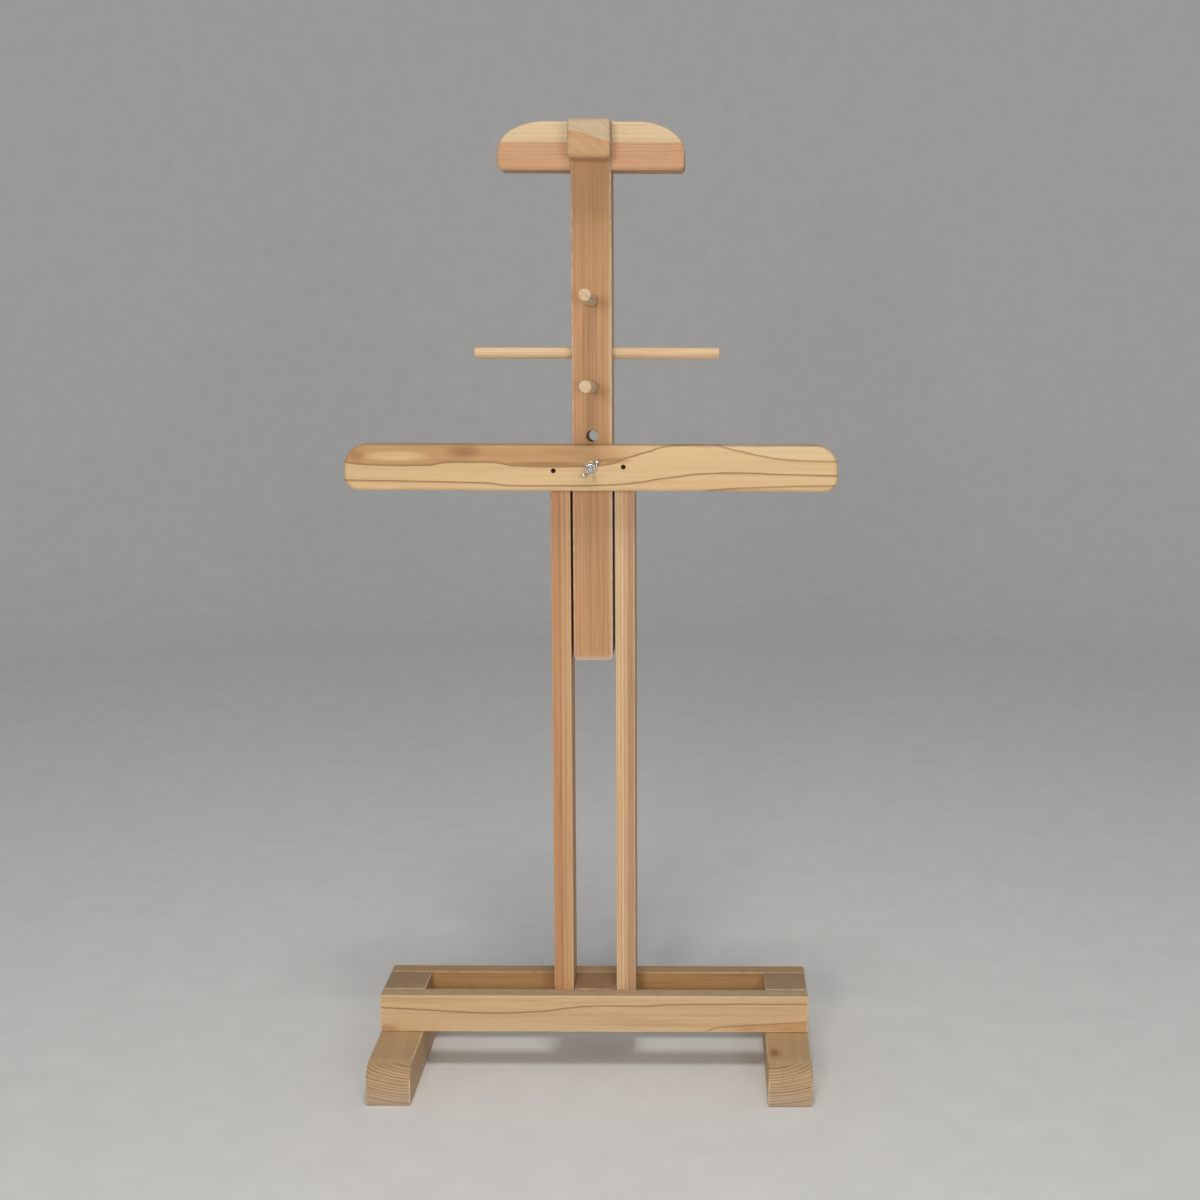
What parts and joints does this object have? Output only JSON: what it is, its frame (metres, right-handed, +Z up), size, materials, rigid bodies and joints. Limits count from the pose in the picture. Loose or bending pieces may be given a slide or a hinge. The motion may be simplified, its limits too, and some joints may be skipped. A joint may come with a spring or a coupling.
{
  "type": "wooden armour stand",
  "caption": "Free-standing wooden stand for a suit of armour, with a low base, a shoulder bar and a sliding post with a cross-shaped head, pegs and a cross dowel.",
  "frame": {"origin": "on the floor, at the middle of the base", "axes": "+Z up, +X to the viewer's right along the shoulder bar, -Y towards the viewer, where the pegs point"},
  "size_m": [0.498, 0.278, 0.9815],
  "materials": {
    "pine_rail": "planed bare pine, satin",
    "pine_foot": "planed bare pine, end grain on the toes",
    "pine_block": "sawn bare pine, end grain up",
    "pine_upright": "planed bare pine, straight grain",
    "pine_bar": "planed bare pine, rounded edges",
    "pine_post": "planed bare pine, straight grain",
    "pine_head": "planed and sanded bare pine",
    "dowel": "smooth turned dowel",
    "zinc": "bright zinc plate",
    "screw_steel": "dull brown screw steel"
  },
  "bodies": {
    "frame": {"rail_front": "pine_rail", "rail_back": "pine_rail", "foot_left": "pine_foot", "foot_right": "pine_foot", "end_block_left": "pine_block", "end_block_right": "pine_block", "centre_block": "pine_block", "upright_left": "pine_upright", "upright_right": "pine_upright", "shoulder_bar": "pine_bar", "shoulder_screw_left": "screw_steel", "shoulder_screw_right": "screw_steel", "clamp_bolt": "zinc", "washer_back": "zinc"},
    "post": {"post": "pine_post", "head_crossbar": "pine_head", "head_brow_bar": "pine_head", "peg_upper": "dowel", "peg_lower": "dowel", "cross_dowel": "dowel"},
    "washer": {"washer_front": "zinc"},
    "wing_nut": {"wing_nut": "zinc"}
  },
  "joints": [
    {"name": "post_height", "type": "slide", "parent": "frame", "child": "post", "axis": [0, 0, 1], "range_m": [-0.012, 0.016]},
    {"name": "washer_travel", "type": "slide", "parent": "frame", "child": "washer", "axis": [0, -1, 0], "range_m": [0, 0.0051]},
    {"name": "nut_turn", "type": "hinge", "parent": "washer", "child": "wing_nut", "pos_m": [0, -0.0522, 0.64], "axis": [0, -1, 0], "range_deg": [0, 1800]}
  ],
  "couplings": [
    {"joint": "washer_travel", "follows": "nut_turn", "m_per_rad": 0.00015915}
  ]
}
